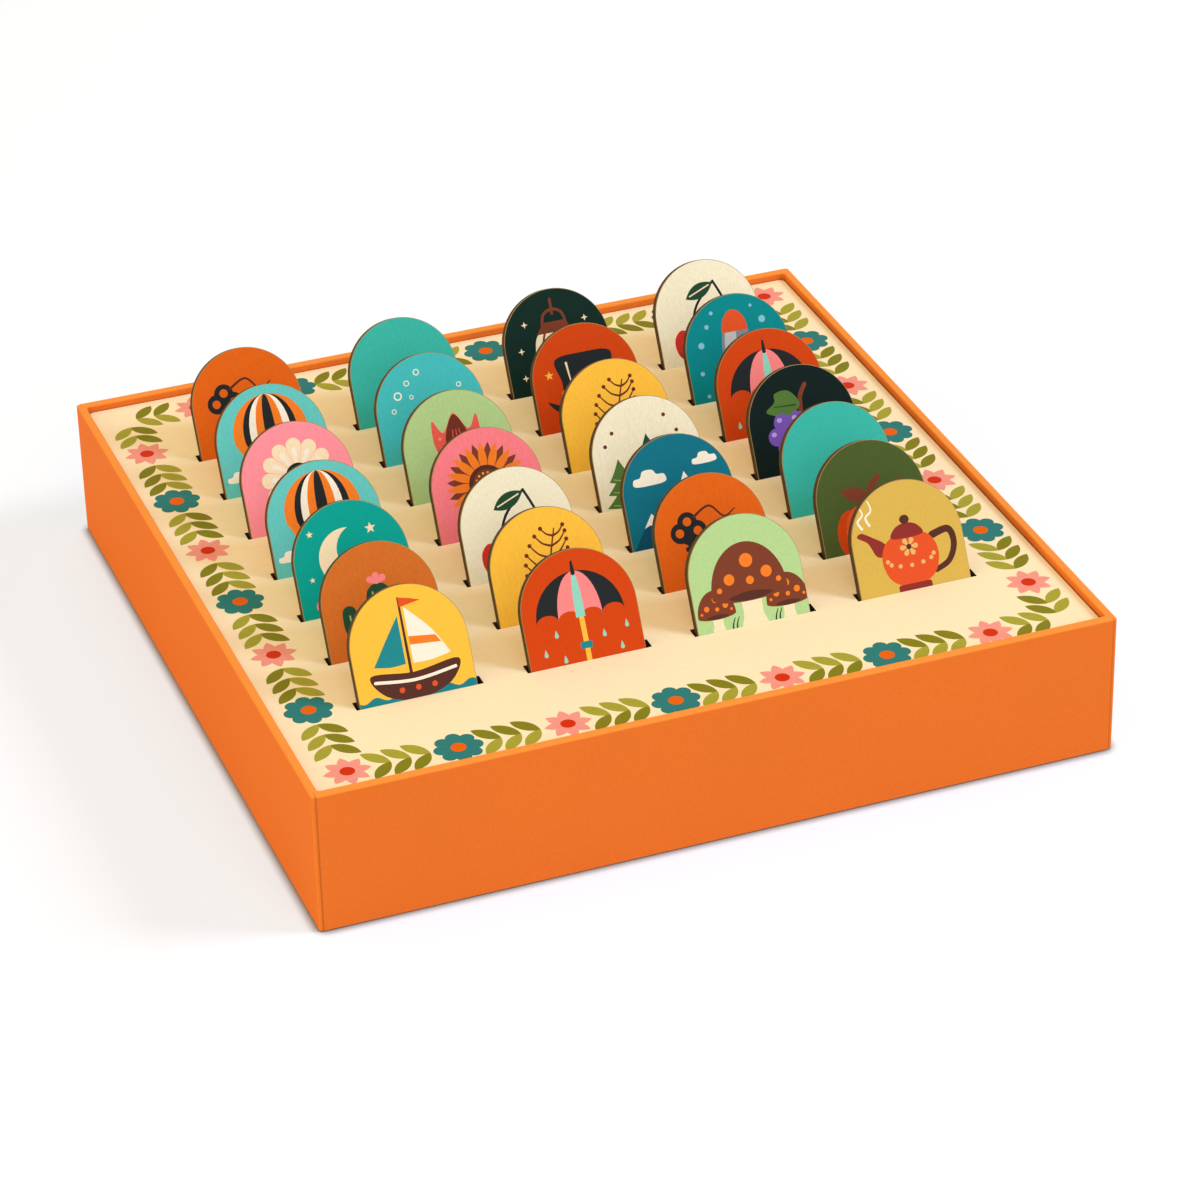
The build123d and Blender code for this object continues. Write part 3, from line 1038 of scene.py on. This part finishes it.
def face_place(tile, turn):
    """Where a tile's face lies: x to its right, y up along it and z out of it."""
    lean = math.radians(TILE_LEAN)
    along = Vector((0, math.sin(lean), math.cos(lean)))
    across = Vector((turn, 0, 0))
    out = across.cross(along)
    corners = [vertex.co for vertex in tile.data.vertices]
    middle = (min(c.x for c in corners) + max(c.x for c in corners)) / 2
    top = max(c.dot(along) for c in corners)
    front = max(c.dot(out) for c in corners)
    origin = Vector((middle, 0, 0)) + along * (top - TILE_SHOWN * MM) + out * front
    place = Matrix((across, along, out)).transposed().to_4x4()
    place.translation = origin
    return place


def dress_tiles():
    """Lays a picture on the front and the shared ornament on the back of every tile."""
    ornament = tile_back()
    for row, pictures in enumerate(LAYOUT, 1):
        for column, picture in enumerate(pictures, 1):
            tile = f"tile_r{row}_c{column}"
            for side, turn, ink, shapes in (
                ("front", 1, GROUNDS[picture], picture()),
                ("back", -1, "cream", ornament),
            ):
                place = face_place(frame["nodes"][tile], turn)
                layers = [(ink, tile_ground()), *shapes]
                piece = film(f"{side}_{tile}", layers, place, FILM_THICKNESS, TILE_INKS)
                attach(piece, tile)


# The garland round the deck


def garland_leaf(reach, side):
    """A leaf from the line's vertex back and out to one side, between two round arcs."""
    lap = 0.15
    outer = arc(-reach, -lap, reach, reach + lap, 0, 90, 12)
    inner = arc(0, reach, reach, reach + lap, 180, 270, 12)
    return [(x, side * y) for x, y in outer + inner[1:-1]]


def sprig(start, count, inner, outer):
    """Leaf pairs along the line. y is towards the middle of the deck."""
    shapes = []
    for i in range(count):
        x = start + i * PAIR_PITCH
        shapes.append((inner, moved(garland_leaf(INNER_LEAF, 1), x)))
        shapes.append((outer, moved(garland_leaf(OUTER_LEAF, -1), x)))
    return shapes


def pink_flower(x):
    """Eight pointed petals round a red eye."""
    shapes = wreath("petal_pink", 8, leaf(0, 0, PINK_RADIUS, 3.5, 0), x)
    return shapes + spots("petal_pink", (x, 0, 3.2)) + spots("eye_red", (x, 0, 2.15))


def teal_flower(x):
    """Eight round petals round an orange eye."""
    shapes = wreath("petal_teal", 8, petal(0, 0, TEAL_RADIUS, 4.4, 0), x)
    return shapes + spots("petal_teal", (x, 0, 4.2)) + spots("eye_orange", (x, 0, 2.2))


def garland_side(pitch, to_leaves, has_corner):
    """One side's flowers and sprigs from x 0 on, along the line y 0."""
    shapes = []
    for i in range(FLOWER_COUNT):
        x = i * pitch
        is_pink = i % 2 == 0
        if i or has_corner:
            shapes += pink_flower(x) if is_pink else teal_flower(x)
        tones = ("leaf_light", "leaf_dark")
        if is_pink != has_corner:
            tones = tones[::-1]
        pairs = 3 if i < FLOWER_COUNT - 1 else 2
        shapes += sprig(x + to_leaves, pairs, *tones)
    return shapes


def dress_deck():
    """Lays the four sides of the garland on the deck."""
    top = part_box("deck_panel")[1].z
    lift = Matrix.Translation((0, 0, top))
    for side, turn, mirror in (
        ("front", 0, False),
        ("left", 0, True),
        ("back", 180, False),
        ("right", 180, True),
    ):
        back, out, pitch, to_leaves, slant = GARLAND_SIDES[side]
        shapes = garland_side(pitch, to_leaves, not mirror)
        shapes = [(ink, moved(outline, -back, -out, slant)) for ink, outline in shapes]
        if mirror:
            shapes = [(ink, [(y, x) for x, y in outline]) for ink, outline in shapes]
        place = lift @ Matrix.Rotation(math.radians(turn), 4, "Z")
        name = "garland_" + side
        piece = film(name, shapes, place, GARLAND_THICKNESS, DECK_INKS, ground=False)
        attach(piece, "insert")


# The cover paper's overlaps


def flap_section():
    """The flap's line from its foot up the wall, over the rim and down inside."""
    high = WALL_HEIGHT - RIM_ROUND
    near, far = RIM_ROUND, RIM_WIDTH - RIM_ROUND
    line = [(0, FLAP_FOOT)] + arc(near, high, RIM_ROUND, RIM_ROUND, 180, 90, 8)
    line += arc(far, high, RIM_ROUND, RIM_ROUND, 90, 0, 8)
    return line + [(RIM_WIDTH, WALL_HEIGHT - TURN_IN_DEPTH)]


def thickened(line, thickness):
    """Each point of the line, with its copy on the left at the thickness."""
    pairs = []
    for x, y, angle in headings(line):
        far = (x - thickness * math.sin(angle), y + thickness * math.cos(angle))
        pairs.append(((x, y), far))
    return pairs


def cover_flap(name, turn):
    """The paper of one wall, lapped over the paper that comes round the corners."""
    section = thickened(flap_section(), FLAP_THICKNESS)
    half = BOX_HALF - FLAP_INSET
    ring = [inner for inner, _ in section] + [outer for _, outer in reversed(section)]
    count = len(ring)
    place = Matrix.Rotation(math.radians(turn), 4, "Z")
    corners = []
    for side in (-half, half):
        corners += [place @ (Vector((side, y - BOX_HALF, z)) * MM) for y, z in ring]
    faces = [[i, (i + 1) % count, (i + 1) % count + count, i + count] for i in range(count)]
    strips = len(section) - 1
    for i in range(strips):
        quad = [i, i + 1, count - 2 - i, count - 1 - i]
        faces += [quad[::-1], [corner + count for corner in quad]]
    cover = CAD_MATERIALS["covering_paper"]
    piece = add_piece(name, corners, faces, [cover], [0] * len(faces))
    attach(piece, "box")


# Floor, light and camera

# The floor is matt grey to every ray but the camera's, which sees a tint and a glow: one pair near
# the box and one away from it, so that the floor's shade is painted paler near the box than away
# from it. Where the box shuts the floor in, the camera sees a painted contact shadow: a dark tint
# and no glow. Its side is in metres, the reaches are in millimetres, and the ranges are shares of
# open sky.
FLOOR_SIDE = 30.0
FLOOR_MATT = (0.78, 0.78, 0.78, 1)
CONTACT_REACH = 3.5
CONTACT_RANGE = (0.5, 0.95)
PAINTED_CONTACT_SHADOW = (0.36, 0.38, 0.38, 1)
SHADE_REACH = 120.0
SHADE_RANGE = (0.72, 0.9)
NEAR_TINT, FAR_TINT = (0.83, 0.6, 0.55, 1), (0.91, 0.7, 0.5, 1)
NEAR_GLOW, FAR_GLOW = (0.11, 0.48, 0.58, 1), (0.015, 0.325, 0.555, 1)

SKY_LIGHT = (1.0, 0.82, 0.6, 1)
SKY_STRENGTH = 0.88

# Each lamp's azimuth and elevation in degrees, side in metres, power in watts and colour.
# Azimuth 0 is on the +X side, and 90 on the +Y side.
LAMPS = {
    "key_lamp": (-22, 39, 0.9, 33.0, (0.75, 1.0, 1.55)),
    "left_lamp": (190, 8, 1.6, 29.0, (1.0, 1.0, 0.62)),
    "front_lamp": (270, 30, 1.6, 8.0, (0.92, 1.05, 1.25)),
}
LAMP_DISTANCE = 3.0

# The photograph's camera, in metres and degrees, with a lens in millimetres
CAMERA_PLACE = (-0.39308, -1.08964, 0.70527)
CAMERA_PITCH = 90 - 30.92
CAMERA_AZIMUTH = -20.201
CAMERA_ROLL = -1.345
CAMERA_LENS = 134.59
CAMERA_SENSOR = 36.0
CAMERA_FAR = 50.0


def open_sky(tree, reach, low, high):
    """0 where the floor is shut in, and 1 where it sees the open sky."""
    sky = node(tree, "AmbientOcclusion", {"Distance": reach * MM}).outputs["AO"]
    return spread(tree, sky, low, high)


def plain_floor():
    """A pale floor that reads white to the camera and keeps the shadows, with a painted contact
    shadow beside the box and its shade painted paler near the box.
    """
    bpy.ops.mesh.primitive_plane_add(size=FLOOR_SIDE)
    floor = bpy.context.object
    floor.name = "floor"
    material, tree, shader = new_material("floor")
    tree.nodes.remove(shader)
    matt = node(tree, "BsdfDiffuse", {"Color": FLOOR_MATT})
    # Painted contact shadow: where the box shuts the floor in, the camera sees a dark tint and the
    # glow fades out.
    clear = open_sky(tree, CONTACT_REACH, *CONTACT_RANGE)
    # Painted light: near the box the camera's tint and glow make the floor's shade paler than away
    # from it.
    apart = open_sky(tree, SHADE_REACH, *SHADE_RANGE)
    lit = blended(tree, apart, NEAR_TINT, FAR_TINT)
    glowing = blended(tree, apart, NEAR_GLOW, FAR_GLOW)
    tinted = node(tree, "BsdfDiffuse", {"Color": blended(tree, clear, PAINTED_CONTACT_SHADOW, lit)})
    glow = node(tree, "Emission", {"Color": glowing, "Strength": clear})
    seen = node(tree, "AddShader", {0: tinted.outputs[0], 1: glow.outputs[0]})
    is_camera = node(tree, "LightPath").outputs["Is Camera Ray"]
    chosen = node(tree, "MixShader", {0: is_camera, 1: matt.outputs[0], 2: seen.outputs[0]})
    tree.links.new(chosen.outputs[0], tree.nodes["Material Output"].inputs["Surface"])
    floor.data.materials.append(material)


def surround():
    """Even soft light from all round, and a white background."""
    world = bpy.data.worlds.new("studio")
    world.use_nodes = True
    tree = world.node_tree
    tree.nodes.clear()
    light = node(tree, "Background", {"Color": SKY_LIGHT, "Strength": SKY_STRENGTH})
    white = node(tree, "Background", {"Color": (1, 1, 1, 1), "Strength": 1.0})
    path = node(tree, "LightPath")
    rays = (path.outputs["Is Camera Ray"], path.outputs["Is Glossy Ray"])
    seen = maths(tree, "MAXIMUM", *rays)
    mix = node(tree, "MixShader", {0: seen, 1: light.outputs[0], 2: white.outputs[0]})
    output = node(tree, "OutputWorld")
    tree.links.new(mix.outputs[0], output.inputs["Surface"])
    bpy.context.scene.world = world


def lamp(name, azimuth, elevation, size, power, colour):
    """A square soft lamp that shines on the middle of the object's foot."""
    data = bpy.data.lights.new(name, "AREA")
    data.shape = "SQUARE"
    data.size = size
    data.energy = power
    data.color = colour
    a, e = math.radians(azimuth), math.radians(elevation)
    direction = Vector((math.cos(a) * math.cos(e), math.sin(a) * math.cos(e), math.sin(e)))
    lamp_object = bpy.data.objects.new(name, data)
    lamp_object.location = direction * LAMP_DISTANCE
    lamp_object.rotation_euler = direction.to_track_quat("Z", "Y").to_euler()
    bpy.context.scene.collection.objects.link(lamp_object)


def camera():
    """The photograph's view from above the front left."""
    data = bpy.data.cameras.new("camera")
    data.sensor_width = CAMERA_SENSOR
    data.lens = CAMERA_LENS
    data.clip_end = CAMERA_FAR
    eye = bpy.data.objects.new("camera", data)
    aim = Euler((math.radians(CAMERA_PITCH), 0, math.radians(CAMERA_AZIMUTH))).to_matrix()
    turn = aim @ Matrix.Rotation(math.radians(CAMERA_ROLL), 3, "Z")
    eye.matrix_world = Matrix.Translation(CAMERA_PLACE) @ turn.to_4x4()
    bpy.context.scene.collection.objects.link(eye)
    bpy.context.scene.camera = eye


dress_cad()
dress_tiles()
dress_deck()
cover_flap("front_flap", 0)
cover_flap("back_flap", 180)
plain_floor()
surround()
for name, settings in LAMPS.items():
    lamp(name, *settings)
camera()
bpy.context.scene.view_settings.view_transform = "Standard"
